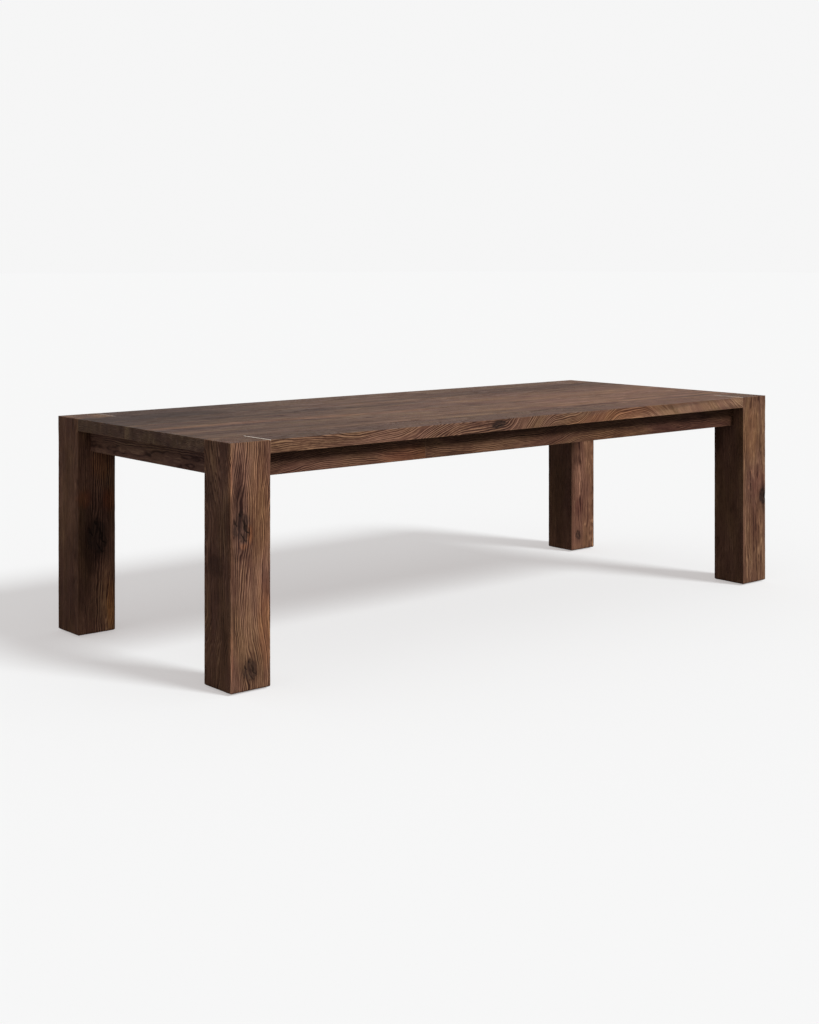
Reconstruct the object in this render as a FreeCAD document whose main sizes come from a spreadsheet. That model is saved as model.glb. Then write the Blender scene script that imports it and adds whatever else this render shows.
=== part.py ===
import FreeCAD, Part
import math
import os
import Sketcher

# A parsons dining table. Four square legs stand at the corners and rise through the top, level with its
# surface. The top is glued up from boards with loose splines: two edge boards fit between the leg heads, and
# the inner boards run the full length. A shallow apron frame, tenoned into the legs, is set back under it.
# Cross bearers are dovetailed down into the long aprons, a bolted block fills each inner corner, and wooden
# buttons hold the top to the frame. A thin pale strip is let into the seam beside each leg head.
#
# X runs along the table, Y across it with the front at -Y, and Z up from the floor. The origin is on the
# floor under the middle of the top. All sizes are in millimetres.

DRIVING_SIZES = (
    # alias, value, what it is
    ("table_length", 2620, "overall length"),
    ("table_width", 1104, "overall width"),
    ("table_height", 762, "floor to the top surface"),
    ("top_thickness", 42, "thickness of the boards of the top"),
    ("leg_side", 147, "side of the square legs, and width of the edge boards"),
    ("foot_radius", 8, "rounding around the bottom of a leg"),
    ("leg_arris", 1.2, "bevel of the four long corners of a leg"),
    ("arris_radius", 1.5, "easing of the long visible corners of a board"),
    ("head_bevel", 0.8, "bevel of the outer edges of a leg head"),
    ("inlay_depth", 2, "depth of the seam inlay, and half its width at the top surface"),
    ("apron_height", 75, "height of the aprons"),
    ("apron_thickness", 27, "thickness of the aprons"),
    ("apron_inset", 50, "outer face of the top to the outer face of an apron"),
    ("tenon_length", 60, "apron tenon, shoulder to tip"),
    ("tenon_thickness", 12, "thickness of an apron tenon"),
    ("tenon_shoulder", 8, "shoulder above and below an apron tenon"),
    ("mortise_spare", 2, "glue room beyond the tip of a tenon"),
    ("splice_x", -493, "where the two lengths of the front apron meet on its face"),
    ("splice_lap", 90, "overlap of the two lengths of an apron"),
    ("spline_width", 24, "width of the splines between boards"),
    ("spline_thickness", 8, "thickness of the splines"),
    ("spline_stop", 70, "end of a board to the end of its spline groove"),
    ("groove_spare", 1, "room beside the edge of a spline"),
    ("bearer_spacing", 600, "between the middles of the cross bearers"),
    ("bearer_width", 60, "width of a cross bearer"),
    ("bearer_thickness", 30, "thickness of a cross bearer"),
    ("dovetail_length", 15, "dovetail of a bearer, shoulder to tip"),
    ("dovetail_neck", 44, "width of the dovetail at its shoulder"),
    ("button_width", 30, "width of a top button"),
    ("button_length", 36, "apron face to the far end of a button"),
    ("button_tongue", 9, "tongue of a button, inside the slot in the apron"),
    ("button_drop", 20, "underside of the top to the underside of a button"),
    ("tongue_thickness", 8, "thickness of that tongue"),
    ("button_slot_width", 46, "width of the slot in the apron"),
    ("button_slot_depth", 11, "depth of the slot in the apron"),
    ("button_spacing", 600, "between the buttons along a long apron"),
    ("block_reach", 93, "leg to the far end of a corner block"),
    ("block_blunt", 12, "blunt end of a corner block"),
    ("block_height", 60, "height of a corner block"),
    ("block_drop", 8, "underside of the top to a corner block"),
    ("block_play", 4, "room above and below a block beside the flat cut in the leg"),
    ("leg_flat", 24, "how far the flat cuts back the inner corner of a leg"),
    ("lag_radius", 5, "radius of a lag bolt"),
    ("lag_length", 95, "length of a lag bolt under its head"),
    ("lag_head_radius", 9.8, "lag bolt head, middle to a corner"),
    ("lag_head_height", 6.4, "height of a lag bolt head"),
    ("washer_radius", 14, "outer radius of a washer"),
    ("washer_thickness", 2.5, "thickness of a washer"),
    ("glide_height", 3, "floor to the underside of a leg"),
    ("glide_radius", 25, "radius of a glide"),
    ("glide_stem_radius", 4, "radius of a glide's stem"),
    ("glide_stem_length", 20, "length of a glide's stem"),
)

INNER_BOARDS = 5
BEARERS = 3
BUTTONS_PER_LONG_APRON = 4

PLUS_X = FreeCAD.Vector(1, 0, 0)
MINUS_Y = FreeCAD.Vector(0, -1, 0)
PLUS_Y = FreeCAD.Vector(0, 1, 0)
PLUS_Z = FreeCAD.Vector(0, 0, 1)


class Size:
    """A length that knows its value and the spreadsheet formula that gives it."""

    def __init__(self, formula, value):
        self.formula = formula
        self.value = value

    def __add__(self, other):
        other = as_size(other)
        return Size(f"({self.formula} + {other.formula})", self.value + other.value)

    def __sub__(self, other):
        other = as_size(other)
        return Size(f"({self.formula} - {other.formula})", self.value - other.value)

    def __mul__(self, factor):
        return Size(f"({self.formula} * {factor})", self.value * factor)

    def __truediv__(self, divisor):
        return Size(f"({self.formula} / {divisor})", self.value / divisor)

    def __neg__(self):
        return self * -1


def as_size(number):
    """A plain number as a Size, so that both can be used alike."""
    if isinstance(number, Size):
        return number
    return Size(str(number), float(number))


def fill_sheet(doc):
    """Write the driving sizes to the spreadsheet and return them by name."""
    sheet = doc.addObject("Spreadsheet::Sheet", "sizes")
    named = {}
    for row, (alias, value, meaning) in enumerate(DRIVING_SIZES, start=1):
        sheet.set(f"A{row}", meaning)
        sheet.set(f"B{row}", str(value))
        sheet.setAlias(f"B{row}", alias)
        named[alias] = Size(f"sizes.{alias}", float(value))
    doc.recompute()
    return named


doc = FreeCAD.newDocument("parsons_dining_table")
size = fill_sheet(doc)
sub_parts = []

# Sizes that follow from the driving ones.
half_length = size["table_length"] / 2
half_width = size["table_width"] / 2
half_leg = size["leg_side"] / 2
inner_x = half_length - size["leg_side"]
inner_y = half_width - size["leg_side"]
underside = size["table_height"] - size["top_thickness"]
apron_low = underside - size["apron_height"]
apron_middle = size["apron_inset"] + size["apron_thickness"] / 2
apron_inner = size["apron_inset"] + size["apron_thickness"]
tenon_low = apron_low + size["tenon_shoulder"]
tenon_high = underside - size["tenon_shoulder"]
board_width = inner_y * (2 / INNER_BOARDS)
bearer_half_length = half_width - apron_inner
spline_height = size["top_thickness"] / 2
groove_depth = size["spline_width"] / 2 + size["groove_spare"]
block_low = underside - size["block_drop"] - size["block_height"]
block_middle = block_low + size["block_height"] / 2
button_slot_low = underside - size["button_drop"]
# Distances from the middle of a leg, towards the inside of the table.
leg_to_apron_middle = apron_middle - half_leg
leg_to_apron_inner = apron_inner - half_leg
leg_to_block_end = half_leg + size["block_reach"]


# ---- drawing and feature helpers -----------------------------------------------------------------------

def bind(thing, name, length):
    """Tie a property of an object to the spreadsheet."""
    thing.setExpression(name, as_size(length).formula)


def new_body(label, x=0, y=0, z=0, turn=0):
    """Start a sub-part with its own origin at a place in the table, turned about Z by so many degrees."""
    body = doc.addObject("PartDesign::Body", label)
    body.Label = label
    body.Placement = FreeCAD.Placement(FreeCAD.Vector(0, 0, 0), FreeCAD.Rotation(PLUS_Z, turn))
    for axis, place in (("x", x), ("y", y), ("z", z)):
        bind(body, f"Placement.Base.{axis}", place)
    sub_parts.append(body)
    return body


def origin_feature(body, role):
    """One of a body's own origin planes or axes, by its role."""
    for feature in body.Origin.OriginFeatures:
        if feature.Role == role:
            return feature
    raise RuntimeError(f"{body.Label} has no {role}")


def new_sketch(body, name, plane, offset=0):
    """Start a sketch on an origin plane of the body, moved along the plane's normal."""
    sketch = body.newObject("Sketcher::SketchObject", f"{body.Label}_{name}")
    sketch.AttachmentSupport = [(origin_feature(body, plane), "")]
    sketch.MapMode = "FlatFace"
    bind(sketch, "AttachmentOffset.Base.z", offset)
    return sketch


def fix_point(sketch, element, vertex, x, y):
    """Hold one point of a sketch at a distance from the sketch's origin."""
    for kind, place in (("DistanceX", x), ("DistanceY", y)):
        place = as_size(place)
        index = sketch.addConstraint(Sketcher.Constraint(kind, -1, 1, element, vertex, place.value))
        sketch.setExpression(f"Constraints[{index}]", place.formula)


def draw_outline(sketch, corners):
    """Draw a closed outline of straight lines, each corner fixed from the spreadsheet."""
    places = [FreeCAD.Vector(as_size(x).value, as_size(y).value, 0) for x, y in corners]
    following = places[1:] + places[:1]
    lines = []
    for start, end in zip(places, following):
        lines.append(sketch.addGeometry(Part.LineSegment(start, end), False))
    for line, next_line in zip(lines, lines[1:] + lines[:1]):
        sketch.addConstraint(Sketcher.Constraint("Coincident", line, 2, next_line, 1))
    for line, (x, y) in zip(lines, corners):
        fix_point(sketch, line, 1, x, y)


def draw_rectangle(sketch, left, low, right, high):
    """Draw an upright rectangle between two opposite corners."""
    draw_outline(sketch, [(left, low), (right, low), (right, high), (left, high)])


def sketch_normal(sketch):
    """The direction that a sketch faces in its body."""
    doc.recompute()
    return sketch.Placement.Rotation.multVec(PLUS_Z)


def volume(body):
    """The volume of a body as it stands, or 0 while it has no solid."""
    doc.recompute()
    return 0 if body.Shape.isNull() else body.Shape.Volume


def add_pad(body, sketch, length, toward=None):
    """Raise a sketch into wood towards a direction, or both ways from its plane when none is given."""
    pad = body.newObject("PartDesign::Pad", f"{sketch.Name}_pad")
    pad.Profile = sketch
    bind(pad, "Length", length)
    if toward is None:
        pad.SideType = "Symmetric"
    else:
        pad.Reversed = sketch_normal(sketch).dot(toward) < 0
    doc.recompute()
    return pad


def check_cut(body, feature, before):
    """Stop if a cutting feature took no wood away."""
    if volume(body) >= before:
        raise RuntimeError(f"{feature.Name} cut nothing")


def cut_pocket(body, sketch, depth, toward):
    """Cut a sketch into the body towards a direction."""
    before = volume(body)
    pocket = body.newObject("PartDesign::Pocket", f"{sketch.Name}_pocket")
    pocket.Profile = sketch
    bind(pocket, "Length", depth)
    pocket.Reversed = sketch_normal(sketch).dot(toward) > 0
    check_cut(body, pocket, before)
    return pocket


def add_turning(body, sketch):
    """Turn a sketch a full circle about its own upright axis."""
    turning = body.newObject("PartDesign::Revolution", f"{sketch.Name}_turning")
    turning.Profile = sketch
    turning.ReferenceAxis = (sketch, ["V_Axis"])
    turning.Angle = 360
    doc.recompute()
    return turning


def dress_edges(body, kind, amount_name, amount, wanted):
    """Fillet or chamfer every edge of the body whose box passes a test."""
    doc.recompute()
    tip = body.Tip
    edges = enumerate(tip.Shape.Edges, start=1)
    names = [f"Edge{number}" for number, edge in edges if wanted(edge.BoundBox)]
    if not names:
        raise RuntimeError(f"{body.Label} has no edge to dress")
    dressing = body.newObject(f"PartDesign::{kind}", f"{body.Label}_{kind.lower()}")
    dressing.Base = (tip, names)
    bind(dressing, amount_name, amount)
    doc.recompute()


def round_edges(body, radius, wanted):
    """Fillet the edges that pass a test."""
    dress_edges(body, "Fillet", "Radius", radius, wanted)


def bevel_edges(body, width, wanted):
    """Chamfer the edges that pass a test."""
    dress_edges(body, "Chamfer", "Size", width, wanted)


def new_primitive(body, action, form, place, toward, sizes):
    """Add or cut a cylinder, cone or prism that starts at a place and runs towards a direction."""
    before = volume(body)
    primitive = body.newObject(f"PartDesign::{action}{form}", f"{body.Label}_{form.lower()}")
    primitive.AttachmentSupport = [(origin_feature(body, "XY_Plane"), "")]
    primitive.MapMode = "FlatFace"
    primitive.AttachmentOffset = FreeCAD.Placement(FreeCAD.Vector(0, 0, 0), FreeCAD.Rotation(PLUS_Z, toward))
    for axis, distance in zip("xyz", place):
        bind(primitive, f"AttachmentOffset.Base.{axis}", distance)
    for name, length in sizes.items():
        bind(primitive, name, length)
    if action == "Subtractive":
        check_cut(body, primitive, before)
    return primitive


def bore(body, place, toward, radius, depth):
    """Drill a round hole that starts at a place."""
    return new_primitive(body, "Subtractive", "Cylinder", place, toward, {"Radius": radius, "Height": depth})


def repeat(body, *steps):
    """Repeat all that the body holds by one step after another: a row along an axis, or a mirror image."""
    pattern = body.newObject("PartDesign::MultiTransform", f"{body.Label}_pattern")
    pattern.TransformMode = "Whole shape"
    transformations = []
    for number, step in enumerate(steps):
        transformations.append(step(body, f"{pattern.Name}_{number}"))
    pattern.Transformations = transformations
    body.Tip = pattern
    doc.recompute()


def row(axis, length, count):
    """A step that makes a row of copies along an axis, with the last one a given length away."""
    def make(body, name):
        pattern = body.newObject("PartDesign::LinearPattern", name)
        pattern.Direction = (origin_feature(body, axis), [""])
        bind(pattern, "Length", length)
        pattern.Occurrences = count
        return pattern
    return make


def mirror(plane):
    """A step that adds a mirror image across one of the body's origin planes."""
    def make(body, name):
        image = body.newObject("PartDesign::Mirrored", name)
        image.MirrorPlane = (origin_feature(body, plane), [""])
        return image
    return make


# ---- where things repeat -------------------------------------------------------------------------------

def centred(pitch, count):
    """Places of a number of things spaced evenly about the middle."""
    return [pitch * (number - (count - 1) / 2) for number in range(count)]


def places_between(places, low, high):
    """Those places that lie between two others."""
    return [place for place in places if low.value < place.value < high.value]


CORNERS = {
    # corner: side of the table in X and in Y, and the turn that brings its joints to face inwards
    "front_left": (-1, -1, 0),
    "front_right": (1, -1, 90),
    "back_right": (1, 1, 180),
    "back_left": (-1, 1, 270),
}
DIAGONAL = math.sqrt(0.5)
OUTWARDS = FreeCAD.Vector(-DIAGONAL, -DIAGONAL, 0)

bearer_places = centred(size["bearer_spacing"], BEARERS)
button_places = centred(size["button_spacing"], BUTTONS_PER_LONG_APRON)
board_places = centred(board_width, INNER_BOARDS)
end_button_place = board_width
# Middle of a corner block's long face, from the middle of the leg, along X and along Y alike.
block_face = (leg_to_block_end + leg_to_apron_inner + size["block_blunt"]) / 2
# All round a bolt or a stem in its hole.
PLAY = 0.1


def new_corner_body(name, corner, turned):
    """Start a sub-part that stands on the middle line of a leg, and turned with it where that matters."""
    side_x, side_y, turn = CORNERS[corner]
    x = (half_length - half_leg) * side_x
    y = (half_width - half_leg) * side_y
    return new_body(f"{name}_{corner}", x, y, 0, turn if turned else 0)


# ---- legs ----------------------------------------------------------------------------------------------

def build_leg(corner):
    """A square leg up to the top surface, mortised for two aprons and bored for its bolt and glide."""
    leg = new_corner_body("leg", corner, turned=True)
    foot = size["glide_height"]
    section = new_sketch(leg, "section", "XY_Plane", foot)
    draw_rectangle(section, -half_leg, -half_leg, half_leg, half_leg)
    add_pad(leg, section, size["table_height"] - foot, PLUS_Z)

    round_edges(leg, size["foot_radius"], lambda box: box.ZMax < foot.value + 0.01)
    head = size["table_height"].value - 0.01
    side = half_leg.value - 0.01
    bevel_edges(leg, size["head_bevel"], lambda box: box.ZMin > head and min(box.XMax, box.YMax) < -side)
    # The seam with the edge board is on the long apron's side, which half of the turns bring to +Y.
    if CORNERS[corner][2] % 180 == 0:
        bevel_edges(leg, size["inlay_depth"], lambda box: box.ZMin > head and box.XMin > side)
    else:
        bevel_edges(leg, size["inlay_depth"], lambda box: box.ZMin > head and box.YMin > side)
    bevel_edges(leg, size["leg_arris"], lambda box: box.ZLength > apron_low.value)

    half_tenon = size["tenon_thickness"] / 2
    mortise_depth = size["tenon_length"] + size["mortise_spare"]
    for name, plane, offset, toward, cheek in (
            ("long_mortise", "YZ_Plane", half_leg - mortise_depth, PLUS_X, leg_to_apron_middle),
            ("end_mortise", "XZ_Plane", mortise_depth - half_leg, PLUS_Y, leg_to_apron_middle)):
        mouth = new_sketch(leg, name, plane, offset)
        draw_rectangle(mouth, cheek - half_tenon, tenon_low, cheek + half_tenon, tenon_high)
        cut_pocket(leg, mouth, mortise_depth, toward)

    flat = new_sketch(leg, "block_flat", "XY_Plane", block_low - size["block_play"])
    cut_back = half_leg - size["leg_flat"]
    draw_outline(flat, [(half_leg, cut_back), (half_leg, half_leg), (cut_back, half_leg)])
    cut_pocket(leg, flat, size["block_height"] + size["block_play"] * 2, PLUS_Z)

    bolt_place = (block_face, block_face, block_middle)
    bore(leg, bolt_place, OUTWARDS, size["lag_radius"] + PLAY, size["lag_length"])
    bore(leg, (0, 0, foot), PLUS_Z, size["glide_stem_radius"] + PLAY, size["glide_stem_length"])


def build_glide(corner):
    """A round glide with a stem that is driven into the leg."""
    glide = new_corner_body("glide", corner, turned=False)
    height = size["glide_height"]
    radius = size["glide_radius"]
    stem = size["glide_stem_radius"]
    ease = height / 3
    profile = new_sketch(glide, "profile", "XZ_Plane")
    draw_outline(profile, [
        (0, 0),
        (radius - ease, 0),
        (radius, ease),
        (radius, height),
        (stem, height),
        (stem, height + size["glide_stem_length"]),
        (0, height + size["glide_stem_length"]),
    ])
    add_turning(glide, profile)


# ---- top -----------------------------------------------------------------------------------------------

def cut_grooves(board, half_board, grooves):
    """Cut stopped spline grooves, given as {side of the board: half the length of its groove}."""
    low = spline_height - size["spline_thickness"] / 2
    for side, reach in grooves.items():
        name = "front_groove" if side < 0 else "back_groove"
        # The sketch plane's normal is -Y, so an offset moves it the other way.
        groove = new_sketch(board, name, "XZ_Plane", half_board * -side)
        draw_rectangle(groove, -reach, low, reach, low + size["spline_thickness"])
        cut_pocket(board, groove, groove_depth, PLUS_Y * -side)


def build_edge_board(side_name, side):
    """The board along one long side of the top, between two leg heads. It is drawn as the front one."""
    turn = 0 if side < 0 else 180
    middle = (half_width - half_leg) * side
    board = new_body(f"top_edge_board_{side_name}", 0, middle, underside, turn)
    section = new_sketch(board, "section", "YZ_Plane")
    draw_rectangle(section, -half_leg, 0, half_leg, size["top_thickness"])
    add_pad(board, section, inner_x * 2)

    top = size["top_thickness"].value
    bevel_edges(board, size["inlay_depth"], lambda box: box.XLength < 0.01 and box.ZMin > top - 0.01)
    round_edges(board, size["arris_radius"],
                lambda box: box.XLength > inner_x.value and box.YMax < 0.01 - half_leg.value)
    cut_grooves(board, half_leg, {1: inner_x - size["spline_stop"]})


def build_inner_board(number, middle):
    """One of the full-length boards of the top."""
    board = new_body(f"top_inner_board_{number}", 0, middle, underside)
    half_board = board_width / 2
    section = new_sketch(board, "section", "YZ_Plane")
    draw_rectangle(section, -half_board, 0, half_board, size["top_thickness"])
    add_pad(board, section, size["table_length"])
    round_edges(board, size["arris_radius"], lambda box: box.XLength < 0.01 and box.ZLength < 0.01)

    full = half_length - size["spline_stop"]
    beside_edge_board = inner_x - size["spline_stop"]
    cut_grooves(board, half_board, {
        -1: beside_edge_board if number == 1 else full,
        1: beside_edge_board if number == INNER_BOARDS else full,
    })


def build_splines():
    """Loose tongues that align and join the boards of the top."""
    half_spline = size["spline_width"] / 2
    low = underside + spline_height - size["spline_thickness"] / 2
    for label, first, reach, step in (
            ("edge_splines", -inner_y, inner_x, mirror("XZ_Plane")),
            ("inner_splines", board_width - inner_y, half_length,
             row("Y_Axis", board_width * (INNER_BOARDS - 2), INNER_BOARDS - 1))):
        splines = new_body(label)
        section = new_sketch(splines, "section", "YZ_Plane")
        draw_rectangle(section, first - half_spline, low,
                       first + half_spline, low + size["spline_thickness"])
        add_pad(splines, section, (reach - size["spline_stop"]) * 2)
        repeat(splines, step)


def build_inlays():
    """Pale three-cornered strips that fill the grooves between the leg heads and the edge boards."""
    inlays = new_body("seam_inlays")
    depth = size["inlay_depth"]
    length = size["leg_side"] - size["arris_radius"]
    middle = inner_y + length / 2
    section = new_sketch(inlays, "section", "XZ_Plane", middle)
    draw_outline(section, [
        (-inner_x - depth, size["table_height"]),
        (-inner_x, size["table_height"] - depth),
        (-inner_x + depth, size["table_height"]),
    ])
    add_pad(inlays, section, length)
    repeat(inlays, mirror("XZ_Plane"), mirror("YZ_Plane"))


# ---- aprons --------------------------------------------------------------------------------------------

def add_tenon(apron, name, shoulder, tip):
    """A tenon on the end of an apron, on its middle plane."""
    tenon = new_sketch(apron, name, "XZ_Plane")
    draw_rectangle(tenon, shoulder, size["tenon_shoulder"],
                   tip, size["apron_height"] - size["tenon_shoulder"])
    add_pad(apron, tenon, size["tenon_thickness"])


def cut_button_slots(apron, places):
    """Slots near the top of an apron's inner face, for the tongues of the top buttons."""
    half_slot = size["button_slot_width"] / 2
    low = size["apron_height"] - size["button_drop"]
    slots = new_sketch(apron, "button_slots", "XZ_Plane", -size["apron_thickness"] / 2)
    for place in places:
        draw_rectangle(slots, place - half_slot, low - size["groove_spare"],
                       place + half_slot, low + size["tongue_thickness"])
    cut_pocket(apron, slots, size["button_slot_depth"], MINUS_Y)


def cut_dovetail_sockets(apron, places):
    """Open-topped sockets for the dovetails of the cross bearers."""
    inner_face = size["apron_thickness"] / 2
    root = inner_face - size["dovetail_length"]
    half_neck = size["dovetail_neck"] / 2
    half_root = size["bearer_width"] / 2
    sockets = new_sketch(apron, "sockets", "XY_Plane", size["apron_height"] - size["bearer_thickness"])
    for place in places:
        draw_outline(sockets, [
            (place - half_neck, inner_face),
            (place - half_root, root),
            (place + half_root, root),
            (place + half_neck, inner_face),
        ])
    cut_pocket(apron, sockets, size["bearer_thickness"], PLUS_Z)


def start_apron(label, x, y, turn, left, right):
    """The plain board of an apron between two places along it, its outer face at -Y."""
    apron = new_body(label, x, y, apron_low, turn)
    face = new_sketch(apron, "face", "XZ_Plane")
    draw_rectangle(face, left, 0, right, size["apron_height"])
    add_pad(apron, face, size["apron_thickness"])
    round_edges(apron, size["arris_radius"], lambda box: box.ZMax < 0.01 and box.XLength > box.YLength)
    return apron


def build_long_apron(side_name, side):
    """A long apron in two lengths that overlap in a half lap. It is drawn as the front one."""
    turn = 0 if side < 0 else 180
    middle = (half_width - apron_middle) * side
    half_thickness = size["apron_thickness"] / 2
    lap_start = size["splice_x"]
    lap_end = lap_start + size["splice_lap"]
    reach = inner_x + size["tenon_length"]
    for length_name, left, right, shoulder, tip, cut_from in (
            ("short", -inner_x, lap_end, -inner_x, -reach, MINUS_Y),
            ("long", lap_start, inner_x, inner_x, reach, PLUS_Y)):
        apron = start_apron(f"{side_name}_apron_{length_name}", 0, middle, turn, left, right)
        # The short length keeps the inner half of the lap and the long length the outer half.
        lap = new_sketch(apron, "lap", "XZ_Plane")
        draw_rectangle(lap, lap_start, 0, lap_end, size["apron_height"])
        cut_pocket(apron, lap, half_thickness, cut_from)
        add_tenon(apron, "tenon", shoulder, tip)

        cut_dovetail_sockets(apron, places_between(bearer_places, left, right))
        cut_button_slots(apron, places_between(button_places, left, right))


def build_end_apron(side_name, side):
    """The apron across one end, tenoned at both ends."""
    turn = 270 if side < 0 else 90
    middle = (half_length - apron_middle) * side
    reach = inner_y + size["tenon_length"]
    apron = start_apron(f"end_apron_{side_name}", middle, 0, turn, -inner_y, inner_y)
    add_tenon(apron, "near_tenon", -inner_y, -reach)
    add_tenon(apron, "far_tenon", inner_y, reach)
    cut_button_slots(apron, [-end_button_place, end_button_place])


# ---- cross bearers, buttons and corner blocks ----------------------------------------------------------

def build_bearer(side_name, place):
    """A bearer across the underside of the top, with a dovetail at each end."""
    bearer = new_body(f"cross_bearer_{side_name}", place, 0, underside - size["bearer_thickness"])
    half_side = size["bearer_width"] / 2
    half_neck = size["dovetail_neck"] / 2
    shoulder = bearer_half_length
    tip = shoulder + size["dovetail_length"]
    plan = new_sketch(bearer, "plan", "XY_Plane")
    draw_outline(plan, [
        (-half_side, -tip),
        (half_side, -tip),
        (half_neck, -shoulder),
        (half_side, -shoulder),
        (half_side, shoulder),
        (half_neck, shoulder),
        (half_side, tip),
        (-half_side, tip),
        (-half_neck, shoulder),
        (-half_side, shoulder),
        (-half_side, -shoulder),
        (-half_neck, -shoulder),
    ])
    add_pad(bearer, plan, size["bearer_thickness"], PLUS_Z)


def button_outline(face, low):
    """Side view of a button beside the inner face of an apron: its tongue, its step and its body."""
    high = low + size["button_drop"]
    step = low + size["tongue_thickness"]
    tip = face - size["button_tongue"]
    end = face + size["button_length"]
    return [(tip, low), (end, low), (end, high), (face, high), (face, step), (tip, step)]


def build_buttons():
    """Wooden buttons under the top, whose tongues pull it down on the aprons."""
    long_face = -bearer_half_length
    end_face = apron_inner - half_length
    long_row = button_places[-1] - button_places[0]
    long_steps = (row("X_Axis", long_row, BUTTONS_PER_LONG_APRON), mirror("XZ_Plane"))
    end_steps = (row("Y_Axis", end_button_place * 2, 2), mirror("YZ_Plane"))
    for where, plane, offset, face, steps in (
            ("long", "YZ_Plane", button_places[0], long_face, long_steps),
            ("end", "XZ_Plane", end_button_place, end_face, end_steps)):
        buttons = new_body(f"{where}_apron_buttons")
        side_view = new_sketch(buttons, "side_view", plane, offset)
        draw_outline(side_view, button_outline(face, button_slot_low))
        add_pad(buttons, side_view, size["button_width"])
        repeat(buttons, *steps)


def build_corner_block(corner):
    """A block that fills an inner corner of the frame: against two aprons and the flat on the leg."""
    block = new_corner_body("corner_block", corner, turned=True)
    apron = leg_to_apron_inner
    cut_back = half_leg - size["leg_flat"]
    blunt = apron + size["block_blunt"]
    plan = new_sketch(block, "plan", "XY_Plane", block_low)
    draw_outline(plan, [
        (half_leg, apron),
        (leg_to_block_end, apron),
        (leg_to_block_end, blunt),
        (blunt, leg_to_block_end),
        (apron, leg_to_block_end),
        (apron, half_leg),
        (cut_back, half_leg),
        (half_leg, cut_back),
    ])
    add_pad(block, plan, size["block_height"], PLUS_Z)
    bolt_place = (block_face, block_face, block_middle)
    bore(block, bolt_place, OUTWARDS, size["lag_radius"] + PLAY, size["lag_length"])


# ---- bolts ---------------------------------------------------------------------------------------------

def build_lag_bolts():
    """Hexagon-headed lag bolts through the corner blocks into the legs, each on a washer."""
    bolts = new_body("lag_bolts")
    washers = new_body("lag_washers")
    washer_top = block_face + size["washer_thickness"] * DIAGONAL
    head_top = washer_top + size["lag_head_height"] * DIAGONAL

    def from_leg(distance):
        return half_leg - half_length + distance, half_leg - half_width + distance, block_middle

    new_primitive(bolts, "Additive", "Prism", from_leg(head_top), OUTWARDS,
                  {"Circumradius": size["lag_head_radius"], "Height": size["lag_head_height"]})
    new_primitive(bolts, "Additive", "Cylinder", from_leg(washer_top), OUTWARDS,
                  {"Radius": size["lag_radius"], "Height": size["lag_length"]})
    new_primitive(washers, "Additive", "Cylinder", from_leg(washer_top), OUTWARDS,
                  {"Radius": size["washer_radius"], "Height": size["washer_thickness"]})
    bore(washers, from_leg(washer_top), OUTWARDS, size["lag_radius"] + PLAY, size["washer_thickness"])
    for group in (bolts, washers):
        repeat(group, mirror("XZ_Plane"), mirror("YZ_Plane"))


# ---- the table -----------------------------------------------------------------------------------------

def build_table():
    """Every sub-part of the table."""
    for corner in CORNERS:
        build_leg(corner)
        build_glide(corner)
        build_corner_block(corner)
    for side_name, side in (("front", -1), ("back", 1)):
        build_edge_board(side_name, side)
        build_long_apron(side_name, side)
    for side_name, side in (("left", -1), ("right", 1)):
        build_end_apron(side_name, side)
    for number, middle in enumerate(board_places, start=1):
        build_inner_board(number, middle)
    for side_name, place in zip(("left", "middle", "right"), bearer_places):
        build_bearer(side_name, place)
    build_splines()
    build_inlays()
    build_buttons()
    build_lag_bolts()
    doc.recompute()


def check_table():
    """Stop on any failed object, and on any sub-part that isn't a valid solid."""
    for thing in doc.Objects:
        if "Invalid" in thing.State or "Error" in thing.State:
            raise RuntimeError(f"{thing.Name} failed to build")
    for body in sub_parts:
        if body.Shape.isNull() or not body.Shape.isValid() or not body.Shape.Solids:
            raise RuntimeError(f"{body.Label} is not a valid solid")


def write_table():
    """One file for each sub-part, named by its label."""
    os.makedirs("parts", exist_ok=True)
    for body in sub_parts:
        body.Shape.exportStep(f"parts/{body.Label}.step")
        print(f"{body.Label}: {len(body.Shape.Solids)} solid(s), {body.Shape.Volume / 1000:.1f} cm3")


build_table()
check_table()
write_table()
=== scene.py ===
"""A parsons dining table in smoked oak: the finish of every piece, its small fasteners, and a pale studio.

The table stands on the floor with +X along its length, the front at -Y and +Z up. All lengths are in metres.
"""

import functools
import math

import bpy
from mathutils import Color, Euler, Matrix, Vector


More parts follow.
